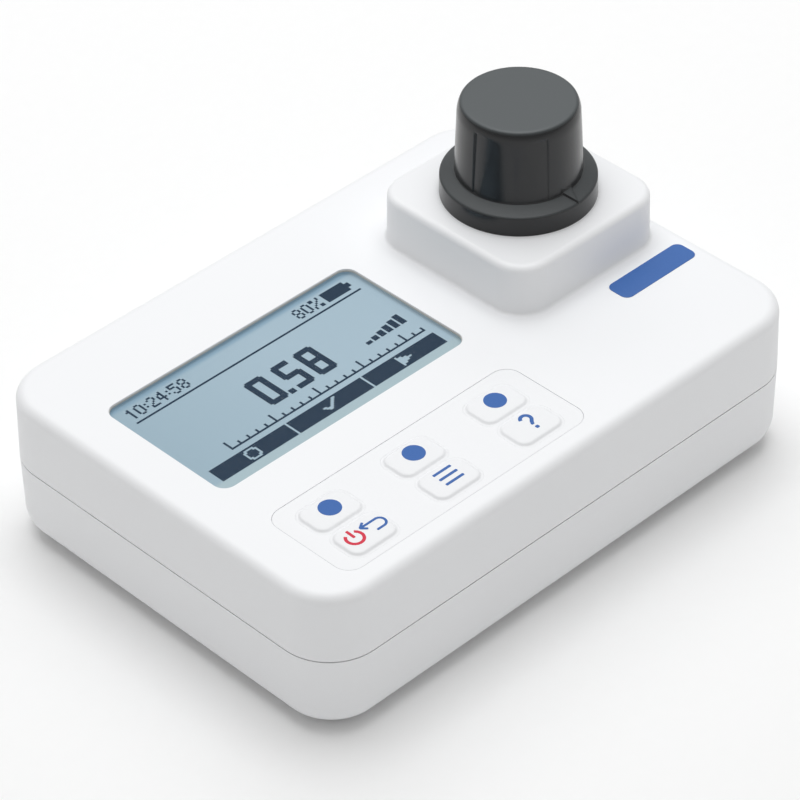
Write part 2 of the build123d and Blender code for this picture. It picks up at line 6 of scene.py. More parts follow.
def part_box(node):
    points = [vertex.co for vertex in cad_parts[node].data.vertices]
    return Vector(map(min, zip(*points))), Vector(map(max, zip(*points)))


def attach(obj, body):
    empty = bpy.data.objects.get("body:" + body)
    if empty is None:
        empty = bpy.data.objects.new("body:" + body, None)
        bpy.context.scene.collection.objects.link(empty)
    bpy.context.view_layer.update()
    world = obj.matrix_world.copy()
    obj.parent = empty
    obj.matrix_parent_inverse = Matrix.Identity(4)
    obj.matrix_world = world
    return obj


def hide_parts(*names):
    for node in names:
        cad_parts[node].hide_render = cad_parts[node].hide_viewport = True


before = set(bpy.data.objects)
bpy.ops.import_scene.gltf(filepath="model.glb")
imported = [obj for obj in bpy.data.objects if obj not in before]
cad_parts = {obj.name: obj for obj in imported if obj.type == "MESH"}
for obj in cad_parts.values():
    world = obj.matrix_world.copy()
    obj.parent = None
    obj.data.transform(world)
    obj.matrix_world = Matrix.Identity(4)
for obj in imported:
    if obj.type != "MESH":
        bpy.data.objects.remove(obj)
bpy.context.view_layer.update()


# The photographer's camera: a long lens high above the near left corner of the case, level to within
# a degree. Its place and axes come from the straight edges and corners of the case.
eye = Vector((-0.443666, -0.458154, 0.536902))
turn, rise, roll = radians(-43.968), radians(38.931), radians(-0.978)
back = Vector((sin(turn) * cos(rise), -cos(turn) * cos(rise), sin(rise)))
right = Vector((0, 0, 1)).cross(back).normalized()
up = back.cross(right)
right_rolled = right * cos(roll) + up * sin(roll)
up_rolled = up * cos(roll) - right * sin(roll)
lens = bpy.data.cameras.new("photo_camera")
lens.sensor_width = 36.0
lens.lens = 3810.61 * 36.0 / 800.0
lens.shift_x = (400.0 - 397.18) / 800.0
lens.shift_y = (400.20 - 400.0) / 800.0
camera = bpy.data.objects.new("photo_camera", lens)
bpy.context.scene.collection.objects.link(camera)
camera.matrix_world = Matrix(((right_rolled.x, up_rolled.x, back.x, eye.x),
                              (right_rolled.y, up_rolled.y, back.y, eye.y),
                              (right_rolled.z, up_rolled.z, back.z, eye.z),
                              (0, 0, 0, 1)))
bpy.context.scene.camera = camera


# The studio: matt white paper under the instrument, two large cloth panels, one above it and one
# behind, and white walls all round. Soft shadows fall on the paper along the two near sides.
def linear(code):
    parts = [int(code[i:i + 2], 16) / 255.0 for i in (1, 3, 5)]
    return [c / 12.92 if c <= 0.04045 else ((c + 0.055) / 1.055) ** 2.4 for c in parts] + [1.0]


def add(tree, kind, settings=None, links=None):
    node = tree.nodes.new(kind)
    for key, value in (settings or {}).items():
        if isinstance(key, str) and key[0].islower():
            setattr(node, key, value)
        else:
            node.inputs[key].default_value = value
    for key, source in (links or {}).items():
        tree.links.new(source, node.inputs[key])
    return node


def finish(name, **settings):
    made = bpy.data.materials.new(name)
    made.use_nodes = True
    shader = made.node_tree.nodes["Principled BSDF"]
    for key, value in settings.items():
        shader.inputs[key.replace("_", " ")].default_value = value
    return made, made.node_tree, shader


studio_paper, tree, shader = finish("matt_white_paper", Roughness=0.95)
shader.inputs["Specular IOR Level"].default_value = 0.05
place = add(tree, "ShaderNodeTexCoord")
fibre = add(tree, "ShaderNodeTexNoise", {"Scale": 300.0, "Detail": 2.0},
            {"Vector": place.outputs["Object"]})
tone = add(tree, "ShaderNodeMix", {"data_type": "RGBA", 6: linear("#F8F8F8"), 7: linear("#FAFAFA")},
           {0: fibre.outputs["Fac"]})
tree.links.new(tone.outputs[2], shader.inputs["Base Color"])
bpy.ops.object.select_all(action="DESELECT")
bpy.ops.mesh.primitive_plane_add(size=6.0, location=(0, 0, 0))
floor = bpy.context.object
floor.name = "studio_floor"
floor.data.materials.append(studio_paper)


def panel(name, place, size, power, tint):
    data = bpy.data.lights.new(name, "AREA")
    data.shape = "RECTANGLE"
    data.size, data.size_y = size
    data.energy = power
    data.color = linear(tint)[:3]
    lamp = bpy.data.objects.new(name, data)
    bpy.context.scene.collection.objects.link(lamp)
    lamp.location = place
    lamp.rotation_euler = (Vector((0.0, 0.0, 0.03)) - Vector(place)).to_track_quat("-Z", "Y").to_euler()


panel("back_panel", (0.30, 0.40, 1.10), (1.2, 1.2), 6.9, "#FDFEFF")
panel("top_panel", (0.0, 0.0, 1.30), (0.9, 0.9), 5.55, "#FDFEFF")
walls = bpy.data.worlds.new("white_walls")
walls.use_nodes = True
walls.node_tree.nodes["Background"].inputs["Color"].default_value = linear("#FFFEFC")
walls.node_tree.nodes["Background"].inputs["Strength"].default_value = 0.41
bpy.context.scene.world = walls
bpy.context.scene.view_settings.view_transform = "Standard"


# The case: two drafted halves and the battery cover, injection moulded in white ABS from
# spark-eroded tools, so the faces are satin with a very fine grain and the edges stay crisp.
def dress(made, *nodes):
    for node in nodes:
        piece = bpy.data.objects[node]
        piece.data.materials.clear()
        piece.data.materials.append(made)


case_abs, tree, shader = finish("spark_grained_white_abs", IOR=1.54)
place = add(tree, "ShaderNodeTexCoord")
# The grain is about 0.1 mm on the tool and drawn at 0.5 mm, the least that shows.
grain = add(tree, "ShaderNodeTexNoise", {"Scale": 1000 / 0.5, "Detail": 2.0},
            {"Vector": place.outputs["Object"]})
flow = add(tree, "ShaderNodeTexNoise", {"Scale": 1000 / 60, "Detail": 1.0},
           {"Vector": place.outputs["Object"]})
tone = add(tree, "ShaderNodeMix", {"data_type": "RGBA", 6: linear("#F0F1F3"), 7: linear("#F4F5F7")},
           {0: flow.outputs["Fac"]})
sheen = add(tree, "ShaderNodeMapRange", {"To Min": 0.42, "To Max": 0.54},
            {"Value": grain.outputs["Fac"]})
bump = add(tree, "ShaderNodeBump", {"Strength": 0.12, "Distance": 0.00003},
           {"Height": grain.outputs["Fac"]})
tree.links.new(tone.outputs[2], shader.inputs["Base Color"])
tree.links.new(sheen.outputs["Result"], shader.inputs["Roughness"])
tree.links.new(bump.outputs["Normal"], shader.inputs["Normal"])
dress(case_abs, "upper_case", "lower_case", "battery_cover")


# The seals: a flat ring in the seam between the halves and another round the battery cover's spigot,
# both cut from dark closed-cell rubber, dull and slightly open at the surface.
seal_rubber, tree, shader = finish("closed_cell_seal_rubber", Roughness=0.85)
place = add(tree, "ShaderNodeTexCoord")
cells = add(tree, "ShaderNodeTexVoronoi", {"Scale": 1000 / 0.4}, {"Vector": place.outputs["Object"]})
tone = add(tree, "ShaderNodeMix", {"data_type": "RGBA", 6: linear("#4A4543"), 7: linear("#5C5653")},
           {0: cells.outputs["Distance"]})
bump = add(tree, "ShaderNodeBump", {"Strength": 0.3, "Distance": 0.00005},
           {"Height": cells.outputs["Distance"]})
tree.links.new(tone.outputs[2], shader.inputs["Base Color"])
tree.links.new(bump.outputs["Normal"], shader.inputs["Normal"])
dress(seal_rubber, "case_gasket", "battery_cover_seal")


# The screws and the display frame: stainless steel, the screws turned with fine rings on their
# heads, the frame pressed from sheet with a brushed face.
screw_steel, tree, shader = finish("turned_stainless_steel", Metallic=1.0)
place = add(tree, "ShaderNodeTexCoord")
cut = add(tree, "ShaderNodeTexNoise", {"Scale": 1000 / 0.3, "Detail": 3.0},
          {"Vector": place.outputs["Object"]})
tone = add(tree, "ShaderNodeMix", {"data_type": "RGBA", 6: linear("#A7A9AC"), 7: linear("#C2C4C6")},
           {0: cut.outputs["Fac"]})
sheen = add(tree, "ShaderNodeMapRange", {"To Min": 0.22, "To Max": 0.42}, {"Value": cut.outputs["Fac"]})
tree.links.new(tone.outputs[2], shader.inputs["Base Color"])
tree.links.new(sheen.outputs["Result"], shader.inputs["Roughness"])
dress(screw_steel, "case_screws", "cover_screws", "board_screws")

frame_steel, tree, shader = finish("brushed_frame_steel", Metallic=1.0)
place = add(tree, "ShaderNodeTexCoord")
# Brush lines run along the long side, about 0.15 mm apart.
stretch = add(tree, "ShaderNodeMapping", {"Scale": (40.0, 1000 / 0.15, 400.0)},
              {"Vector": place.outputs["Object"]})
lines = add(tree, "ShaderNodeTexNoise", {"Scale": 1.0, "Detail": 2.0},
            {"Vector": stretch.outputs["Vector"]})
tone = add(tree, "ShaderNodeMix", {"data_type": "RGBA", 6: linear("#9A9C9F"), 7: linear("#B9BBBE")},
           {0: lines.outputs["Fac"]})
sheen = add(tree, "ShaderNodeMapRange", {"To Min": 0.28, "To Max": 0.45},
            {"Value": lines.outputs["Fac"]})
tree.links.new(tone.outputs[2], shader.inputs["Base Color"])
tree.links.new(sheen.outputs["Result"], shader.inputs["Roughness"])
dress(frame_steel, "lcd_frame")


# The four feet: grey elastomer discs pressed into round pockets, matt, with a little dust ground
# into the sole.
foot_rubber, tree, shader = finish("grey_foot_rubber", Roughness=0.75)
place = add(tree, "ShaderNodeTexCoord")
dust = add(tree, "ShaderNodeTexNoise", {"Scale": 1000 / 1.5, "Detail": 4.0},
           {"Vector": place.outputs["Object"]})
tone = add(tree, "ShaderNodeMix", {"data_type": "RGBA", 6: linear("#6A6A6C"), 7: linear("#828284")},
           {0: dust.outputs["Fac"]})
bump = add(tree, "ShaderNodeBump", {"Strength": 0.2, "Distance": 0.00005},
           {"Height": dust.outputs["Fac"]})
tree.links.new(tone.outputs[2], shader.inputs["Base Color"])
tree.links.new(bump.outputs["Normal"], shader.inputs["Normal"])
dress(foot_rubber, "rubber_feet")


# The window: a clear acrylic pane with a hard coat, bedded against the inside of the case, with a thin
# grey ring on the pane against the walls of the opening: painted shade that stands for the shaded far
# walls of the opening.
pane_acrylic, tree, shader = finish("hard_coated_clear_acrylic", Alpha=0.02, IOR=1.49)
place = add(tree, "ShaderNodeTexCoord")
haze = add(tree, "ShaderNodeTexNoise", {"Scale": 1000 / 8, "Detail": 2.0},
           {"Vector": place.outputs["Object"]})
tone = add(tree, "ShaderNodeMix", {"data_type": "RGBA", 6: linear("#6F8087"), 7: linear("#7D8E95")},
           {0: haze.outputs["Fac"]})
sheen = add(tree, "ShaderNodeMapRange", {"To Min": 0.03, "To Max": 0.08}, {"Value": haze.outputs["Fac"]})
tree.links.new(tone.outputs[2], shader.inputs["Base Color"])
tree.links.new(sheen.outputs["Result"], shader.inputs["Roughness"])
dress(pane_acrylic, "display_window")


def pick(piece, kind, test):
    # selects the corners, edges or faces whose middle passes the test, and stays in edit mode
    mesh = piece.data
    bpy.ops.object.mode_set(mode="EDIT")
    bpy.ops.mesh.select_mode(type=kind)
    bpy.ops.mesh.select_all(action="DESELECT")
    bpy.ops.object.mode_set(mode="OBJECT")
    if kind == "VERT":
        for corner in mesh.vertices:
            corner.select = test(corner.co)
    elif kind == "EDGE":
        for edge in mesh.edges:
            a, b = edge.vertices
            edge.select = test((mesh.vertices[a].co + mesh.vertices[b].co) / 2)
    else:
        for face in mesh.polygons:
            face.select = test(face.center)
    bpy.ops.object.mode_set(mode="EDIT")


def seat(piece, name, made, body):
    # a finished piece: transforms applied, named, coloured, riding its body
    bpy.ops.object.mode_set(mode="OBJECT")
    bpy.ops.object.select_all(action="DESELECT")
    piece.select_set(True)
    bpy.context.view_layer.objects.active = piece
    bpy.ops.object.transform_apply(location=True, rotation=True, scale=True)
    piece.name = name
    piece.data.name = name
    piece.data.materials.clear()
    piece.data.materials.append(made)
    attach(piece, body)


# The ring's grey is painted shade for the far walls of the window opening, which lie in shade.
ring_painted_shade_grey, tree, shader = finish("window_ring_painted_shade", Roughness=0.6)
place = add(tree, "ShaderNodeTexCoord")
bead = add(tree, "ShaderNodeTexNoise", {"Scale": 1000 / 1.2, "Detail": 2.0},
           {"Vector": place.outputs["Object"]})
tone = add(tree, "ShaderNodeMix", {"data_type": "RGBA", 6: linear("#BDBBB6"), 7: linear("#CBC9C4")},
           {0: bead.outputs["Fac"]})
tree.links.new(tone.outputs[2], shader.inputs["Base Color"])
window_x, window_y, window_r = (-0.05984, 0.01072), (-0.00918, 0.02812), 0.003
pane_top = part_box("display_window")[1][2]
bpy.ops.object.select_all(action="DESELECT")
bpy.ops.mesh.primitive_plane_add(size=1.0, location=(sum(window_x) / 2, sum(window_y) / 2,
                                                     pane_top + 0.00001))
bead_ring = bpy.context.object
bead_ring.scale = (window_x[1] - window_x[0] - 0.00002, window_y[1] - window_y[0] - 0.00002, 1.0)
bpy.ops.object.transform_apply(location=True, rotation=True, scale=True)
bpy.ops.object.mode_set(mode="EDIT")
bpy.ops.mesh.select_all(action="SELECT")
bpy.ops.mesh.bevel(affect="VERTICES", offset=window_r, segments=10)
bpy.ops.mesh.select_mode(type="FACE")
bpy.ops.mesh.select_all(action="SELECT")
bpy.ops.mesh.inset(thickness=0.00014)
bpy.ops.mesh.delete(type="FACE")
bpy.ops.mesh.select_all(action="SELECT")
bpy.ops.mesh.extrude_region_move(TRANSFORM_OT_translate={"value": (0, 0, 0.00040)})
bpy.ops.mesh.select_all(action="SELECT")
bpy.ops.mesh.normals_make_consistent(inside=False)
seat(bead_ring, "window_edge_bead", ring_painted_shade_grey, "case")


# The display: a liquid crystal glass of 128 by 64 dots with its back light on, blue-grey where the dots
# are off, a little greener outside them, and darker along the far edge in a painted shade of the wall of
# the window opening.
dot = 0.50678e-3
grid_left, grid_top = -0.056488, 0.027112
lcd_glass, tree, shader = finish("blue_grey_lcd_glass", Roughness=0.35, IOR=1.52)
shader.inputs["Specular IOR Level"].default_value = 0.08
place = add(tree, "ShaderNodeTexCoord")
axes = add(tree, "ShaderNodeSeparateXYZ", {}, {"Vector": place.outputs["Object"]})
across = add(tree, "ShaderNodeMapRange", {"From Min": -0.058, "From Max": -0.020},
             {"Value": axes.outputs["X"]})
ground = add(tree, "ShaderNodeMix", {"data_type": "RGBA", 6: linear("#7E919C"), 7: linear("#8799A4")},
             {0: across.outputs["Result"]})
# Painted shade: the glass darkens towards the far edge, where the wall of the window opening shades it.
far_edge_painted_shade = add(tree, "ShaderNodeMapRange",
            {"interpolation_type": "SMOOTHSTEP", "From Min": 0.0262, "From Max": 0.0276},
            {"Value": axes.outputs["Y"]})
shaded = add(tree, "ShaderNodeMix", {"data_type": "RGBA", 7: linear("#748C9C")},
             {0: far_edge_painted_shade.outputs["Result"], 6: ground.outputs[2]})
near = add(tree, "ShaderNodeMapRange",
           {"From Min": -0.0057, "From Max": -0.0049, "To Min": 1.0, "To Max": 0.0},
           {"Value": axes.outputs["Y"]})
edge = add(tree, "ShaderNodeMix", {"data_type": "RGBA", 7: linear("#8A9BA1")},
           {0: near.outputs["Result"], 6: shaded.outputs[2]})
# The dots that are off show as a faint lattice at the dot pitch.
lattice = add(tree, "ShaderNodeTexBrick",
              {"offset": 0.0, "Scale": 1.0, "Brick Width": dot, "Row Height": dot,
                                            "Mortar Size": dot * 0.08, "Color1": (1, 1, 1, 1),
                                            "Color2": (1, 1, 1, 1), "Mortar": (0.93, 0.93, 0.93, 1)},
              {"Vector": place.outputs["Object"]})
dotted = add(tree, "ShaderNodeMix", {"data_type": "RGBA", "blend_type": "MULTIPLY", 0: 1.0},
             {6: edge.outputs[2], 7: lattice.outputs["Color"]})
tree.links.new(dotted.outputs[2], shader.inputs["Base Color"])
# The glass glows in its own colour at two thirds strength: partly its back light, partly painted light
# that keeps it bright where the walls of the window opening shade it.
tree.links.new(dotted.outputs[2], shader.inputs["Emission Color"])
shader.inputs["Emission Strength"].default_value = 0.667
dress(lcd_glass, "lcd_glass")


# What the display shows: plain numbers, a battery sign, a level bar, a scale and three soft-key
# signs. Each lit dot is a square of the dot grid, on the glass just under the window.
small = {"0": "0110 1001 1001 1001 1001 1001 0110", "1": "0010 0110 0010 0010 0010 0010 0010",
         "2": "0110 1001 0001 0010 0100 1000 1111", "4": "0010 0110 1010 1010 1111 0010 0010",
         "5": "1111 1000 1110 0001 0001 1001 0110", "8": "0110 1001 1001 0110 1001 1001 0110",
         ":": "0 0 1 0 1 0 0", "%": "11001 11001 00010 00100 01000 10011 10011"}
strokes = {"top": (1, 9, 0, 3), "middle": (1, 9, 8, 11), "bottom": (1, 9, 16, 19),
           "upper_left": (0, 3, 1, 10), "upper_right": (7, 10, 1, 10),
           "lower_left": (0, 3, 9, 18), "lower_right": (7, 10, 9, 18)}
large = {"0": ("top", "bottom", "upper_left", "upper_right", "lower_left", "lower_right"),
         "5": ("top", "middle", "bottom", "upper_left", "lower_right"), "8": tuple(strokes)}
lit = set()
dark = set()


def fill(cols, rows, into=lit):
    into.update((c, r) for c in range(*cols) for r in range(*rows))


col = 0
for sign in "10:24:58":
    rows = small[sign].split()
    lit.update((col + c, 2 + r) for r in range(7) for c in range(len(rows[r])) if rows[r][c] == "1")
    col += len(rows[0]) + 1
col = 95
for sign in "80%":
    rows = small[sign].split()
    lit.update((col + c, 2 + r) for r in range(7) for c in range(len(rows[r])) if rows[r][c] == "1")
    col += len(rows[0]) + 1
fill((112, 125), (2, 9))
fill((125, 127), (4, 7))
fill((0, 128), (11, 12))
for col, sign in ((47, "0"), (62, "5"), (75, "8")):
    for stroke in large[sign]:
        c0, c1, r0, r1 = strokes[stroke]
        fill((col + c0, col + c1), (24 + r0, 24 + r1))
fill((58, 61), (40, 43))
for step in range(6):
    fill((103 + 4 * step, 106 + 4 * step), (40 - step, 42))
fill((16, 127), (51, 52))
for col in range(16, 128, 5):
    fill((col, col + 1), (46 if (col - 16) % 25 == 0 else 49, 51))
fill((0, 128), (55, 64))
fill((42, 43), (55, 64), dark)
fill((85, 86), (55, 64), dark)
dark.update((c, r) for c in range(15, 26) for r in range(55, 64)
            if 2.3 < ((c - 20) ** 2 + (r - 59) ** 2) ** 0.5 < 3.7)
dark.update((60 + k, 59 + k) for k in range(3))
dark.update((61 + k, 59 + k) for k in range(3))
dark.update((63 + k, 60 - k) for k in range(5))
dark.update((64 + k, 60 - k) for k in range(5))
dark.update((104 + c, 59 + r) for c in range(7) for r in range(-3, 4) if abs(r) * 2 <= 6 - c)
lit -= dark

lcd_ink, tree, shader = finish("dark_lcd_dots", Roughness=0.5, IOR=1.5)
shader.inputs["Specular IOR Level"].default_value = 0.03
place = add(tree, "ShaderNodeTexCoord")
lattice = add(tree, "ShaderNodeTexBrick",
              {"offset": 0.0, "Scale": 1.0, "Brick Width": dot, "Row Height": dot,
                                            "Mortar Size": dot * 0.06, "Color1": linear("#283749"),
                                            "Color2": linear("#2B3B4E"), "Mortar": linear("#35465A")},
              {"Vector": place.outputs["Object"]})
tree.links.new(lattice.outputs["Color"], shader.inputs["Base Color"])
glass_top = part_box("lcd_glass")[1][2]
bpy.ops.object.select_all(action="DESELECT")
bpy.ops.mesh.primitive_grid_add(x_subdivisions=128, y_subdivisions=64, size=1.0,
                                location=(grid_left + 64 * dot, grid_top - 32 * dot, glass_top + 0.00001))
dots = bpy.context.object
dots.scale = (128 * dot, 64 * dot, 1.0)
bpy.ops.object.transform_apply(location=True, rotation=True, scale=True)
pick(dots, "FACE", lambda at: (int((at.x - grid_left) / dot), int((grid_top - at.y) / dot)) not in lit)
bpy.ops.mesh.delete(type="FACE")
bpy.ops.mesh.select_all(action="SELECT")
bpy.ops.mesh.extrude_region_move(TRANSFORM_OT_translate={"value": (0, 0, 0.00002)})
bpy.ops.mesh.select_all(action="SELECT")
bpy.ops.mesh.normals_make_consistent(inside=False)
seat(dots, "display_dots", lcd_ink, "case")


# Behind the glass: an acrylic light guide with a row of white lamps at one end, and the amber
# polyimide ribbon that takes the signals down to the main board.
guide_acrylic, tree, shader = finish("frosted_light_guide_acrylic", Roughness=0.5, IOR=1.49)
place = add(tree, "ShaderNodeTexCoord")
# Printed dots on the rear face spread the light; they are 1 mm apart.
print_dots = add(tree, "ShaderNodeTexVoronoi", {"Scale": 1000 / 1.0, "Randomness": 0.0},
                 {"Vector": place.outputs["Object"]})
tone = add(tree, "ShaderNodeMix", {"data_type": "RGBA", 6: linear("#F3F6F7"), 7: linear("#D9DFE1")},
           {0: print_dots.outputs["Distance"]})
tree.links.new(tone.outputs[2], shader.inputs["Base Color"])
dress(guide_acrylic, "lcd_backlight")

ribbon_film, tree, shader = finish("amber_polyimide_ribbon", Roughness=0.35)
place = add(tree, "ShaderNodeTexCoord")
# Copper tracks every 1 mm show through the film.
tracks = add(tree, "ShaderNodeTexWave",
             {"wave_type": "BANDS", "bands_direction": "X", "Scale": 1000 / 6.4},
             {"Vector": place.outputs["Object"]})
tone = add(tree, "ShaderNodeMix", {"data_type": "RGBA", 6: linear("#A86A1E"), 7: linear("#D69B4A")},
           {0: tracks.outputs["Fac"]})
tree.links.new(tone.outputs[2], shader.inputs["Base Color"])
dress(ribbon_film, "lcd_ribbon")


# The keypad: a white satin overlay let into the case, with six keys of white silicone rubber that
# stand through it, smooth on top with a slightly dragging touch.
overlay_film, tree, shader = finish("satin_white_overlay", IOR=1.5)
place = add(tree, "ShaderNodeTexCoord")
grain = add(tree, "ShaderNodeTexNoise", {"Scale": 1000 / 0.4, "Detail": 1.0},
            {"Vector": place.outputs["Object"]})
tone = add(tree, "ShaderNodeMix", {"data_type": "RGBA", 6: linear("#EFF0F2"), 7: linear("#F2F3F5")},
           {0: grain.outputs["Fac"]})
sheen = add(tree, "ShaderNodeMapRange", {"To Min": 0.38, "To Max": 0.48},
            {"Value": grain.outputs["Fac"]})
tree.links.new(tone.outputs[2], shader.inputs["Base Color"])
tree.links.new(sheen.outputs["Result"], shader.inputs["Roughness"])
dress(overlay_film, "keypad_panel")

key_silicone, tree, shader = finish("white_key_silicone", IOR=1.43)
place = add(tree, "ShaderNodeTexCoord")
skin = add(tree, "ShaderNodeTexNoise", {"Scale": 1000 / 0.7, "Detail": 2.0},
           {"Vector": place.outputs["Object"]})
tone = add(tree, "ShaderNodeMix", {"data_type": "RGBA", 6: linear("#EEEFF1"), 7: linear("#F1F2F4")},
           {0: skin.outputs["Fac"]})
sheen = add(tree, "ShaderNodeMapRange", {"To Min": 0.5, "To Max": 0.6}, {"Value": skin.outputs["Fac"]})
tree.links.new(tone.outputs[2], shader.inputs["Base Color"])
tree.links.new(sheen.outputs["Result"], shader.inputs["Roughness"])
# Each key is a soft pad that fills its opening, level with the overlay at the foot, with a flank
# that swells and eases off to a flat top. The near row's flange lies the other way from the far row's.
far_row, near_row = ("key_left", "key_middle", "key_right"), ("key_power", "key_menu", "key_help")
key_w, key_d, key_r, key_gap = 0.0135, 0.0096, 0.003, 0.0001
key_rise, key_sunk, pad_rise = 0.0008, 0.0008, 0.0006
flank = ((0.00030, 0.00000), (0.00020, 0.00004), (0.00015, 0.00010), (0.00013, 0.00015),
         (0.00013, 0.00014), (0.00015, 0.00009), (0.00020, 0.00005), (0.00030, 0.00003))
bpy.ops.object.select_all(action="DESELECT")
overlay_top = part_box("key_left")[1][2] - key_rise
bpy.ops.mesh.primitive_plane_add(size=1.0, location=(0, 0, overlay_top - key_sunk))
soft_key = bpy.context.object
soft_key.scale = (key_w + 2 * key_gap, key_d + 2 * key_gap, 1.0)
bpy.ops.object.transform_apply(location=True, rotation=True, scale=True)
bpy.ops.object.mode_set(mode="EDIT")
bpy.ops.mesh.select_all(action="SELECT")
bpy.ops.mesh.bevel(affect="VERTICES", offset=key_r + key_gap, segments=12)
bpy.ops.mesh.select_mode(type="FACE")
bpy.ops.mesh.select_all(action="SELECT")
bpy.ops.mesh.extrude_region_move(TRANSFORM_OT_translate={"value": (0, 0, key_sunk)})
for inward, upward in flank:
    bpy.ops.mesh.inset(thickness=inward, depth=upward)
bpy.ops.object.mode_set(mode="OBJECT")
bpy.ops.object.shade_smooth_by_angle(angle=radians(35))
for key in far_row + near_row:
    low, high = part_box(key)
    pad = soft_key
    if key != near_row[-1]:
        pad = soft_key.copy()
        pad.data = soft_key.data.copy()
        bpy.context.scene.collection.objects.link(pad)
    middle_y = low[1] + key_d / 2 if key in far_row else high[1] - key_d / 2
    pad.location = ((low[0] + high[0]) / 2, middle_y, 0)
    seat(pad, key + "_pad", key_silicone, key + "_body")
    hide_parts(key)


# The signs on the keys: screen-printed ink about 0.03 mm thick, blue for the functions and red for
# on and off. The soft keys have a plain disc each.
def ink_of(name, dark_tone, pale_tone):
    made, tree, shader = finish(name, Roughness=0.5)
    shader.inputs["Specular IOR Level"].default_value = 0.15
    place = add(tree, "ShaderNodeTexCoord")
    # The mesh of the print screen leaves a faint weave, drawn at 0.35 mm.
    weave = add(tree, "ShaderNodeTexNoise", {"Scale": 1000 / 0.35, "Detail": 1.0},
                {"Vector": place.outputs["Object"]})
    tone = add(tree, "ShaderNodeMix", {"data_type": "RGBA", 6: linear(dark_tone), 7: linear(pale_tone)},
               {0: weave.outputs["Fac"]})
    tree.links.new(tone.outputs[2], shader.inputs["Base Color"])
    return made


blue_ink = ink_of("screen_printed_blue_ink", "#4069AC", "#476FB2")
red_ink = ink_of("screen_printed_red_ink", "#D2374A", "#DA4255")
key_top = overlay_top + pad_rise
ink_thick = 0.00003


def print_up(piece):
    # gives a flat sign the thickness of the ink
    bpy.ops.object.mode_set(mode="EDIT")
    bpy.ops.mesh.select_mode(type="FACE")
    bpy.ops.mesh.select_all(action="SELECT")
    bpy.ops.mesh.extrude_region_move(TRANSFORM_OT_translate={"value": (0, 0, ink_thick)})
    bpy.ops.mesh.select_all(action="SELECT")
    bpy.ops.mesh.normals_make_consistent(inside=False)
    bpy.ops.object.mode_set(mode="OBJECT")


bpy.ops.object.select_all(action="DESELECT")
bpy.ops.mesh.primitive_circle_add(vertices=64, radius=0.0025, fill_type="NGON", location=(0, 0, 0))
disc = bpy.context.object
bpy.ops.object.mode_set(mode="EDIT")
bpy.ops.mesh.select_mode(type="FACE")
bpy.ops.mesh.select_all(action="SELECT")
bpy.ops.mesh.inset(thickness=0.0001)
bpy.ops.object.mode_set(mode="OBJECT")
print_up(disc)
for key, x, y in (("key_middle", -0.02456, -0.02829), ("key_right", -0.00063, -0.02822),
                  ("key_left", -0.04852, -0.02844)):
    mark = disc
    if key != "key_left":
        mark = disc.copy()
        mark.data = disc.data.copy()
        bpy.context.scene.collection.objects.link(mark)
    mark.location = (x, y, key_top)
    seat(mark, key + "_disc", blue_ink, key + "_body")


def bar(x0, y0, x1, y1, width):
    # one straight printed stroke from point to point, its ends square
    run = Vector((x1 - x0, y1 - y0))
    bpy.ops.object.mode_set(mode="OBJECT")
    bpy.ops.object.select_all(action="DESELECT")
    bpy.ops.mesh.primitive_plane_add(size=1.0, location=((x0 + x1) / 2, (y0 + y1) / 2, key_top),
                                     rotation=(0, 0, run.angle_signed(Vector((1, 0)))))
    stroke = bpy.context.object
    stroke.scale = (run.length, width, 1.0)
    bpy.ops.object.transform_apply(location=True, rotation=True, scale=True)
    bpy.ops.object.mode_set(mode="EDIT")
    bpy.ops.mesh.select_all(action="SELECT")
    bpy.ops.mesh.bevel(affect="VERTICES", offset=width * 0.3, segments=3)
    bpy.ops.object.mode_set(mode="OBJECT")
    return stroke


def arc(middle, radius, width, start, sweep, steps):
    # one curved printed stroke: an edge as wide as the stroke, spun about the middle
    bpy.ops.object.mode_set(mode="OBJECT")
    bpy.ops.object.select_all(action="DESELECT")
    bpy.ops.mesh.primitive_plane_add(size=width, location=(middle[0], middle[1], key_top))
    stroke = bpy.context.object
    bpy.ops.object.transform_apply(location=True, rotation=True, scale=True)
    pick(stroke, "VERT", lambda at: at.y > middle[1])
    bpy.ops.mesh.delete(type="VERT")
    bpy.ops.mesh.select_all(action="SELECT")
    bpy.ops.transform.translate(value=(radius, width / 2, 0))
    hub = (middle[0], middle[1], key_top)
    bpy.ops.transform.rotate(value=-start, orient_axis="Z", center_override=hub)
    bpy.ops.mesh.spin(steps=steps, angle=-sweep, center=hub, axis=(0, 0, 1))
    bpy.ops.object.mode_set(mode="OBJECT")
    return stroke


def joined(strokes):
    # each stroke lies a hair above the one before it, so that crossings print cleanly
    bpy.ops.object.select_all(action="DESELECT")
    for count, stroke in enumerate(strokes):
        stroke.location.z += count * 0.000002
        stroke.select_set(True)
    bpy.context.view_layer.objects.active = strokes[0]
    bpy.ops.object.join()
    return bpy.context.object


# On and off: a ring open at the top with a bar in the opening, in red.
ring_middle = (-0.05146, -0.03872)
ring = arc(ring_middle, 0.00190, 0.00072, radians(128), radians(284), 48)
stem = bar(-0.05138, -0.03608, -0.05143, -0.03868, 0.00068)
power = joined([ring, stem])
print_up(power)
seat(power, "on_off_sign", red_ink, "key_power_body")

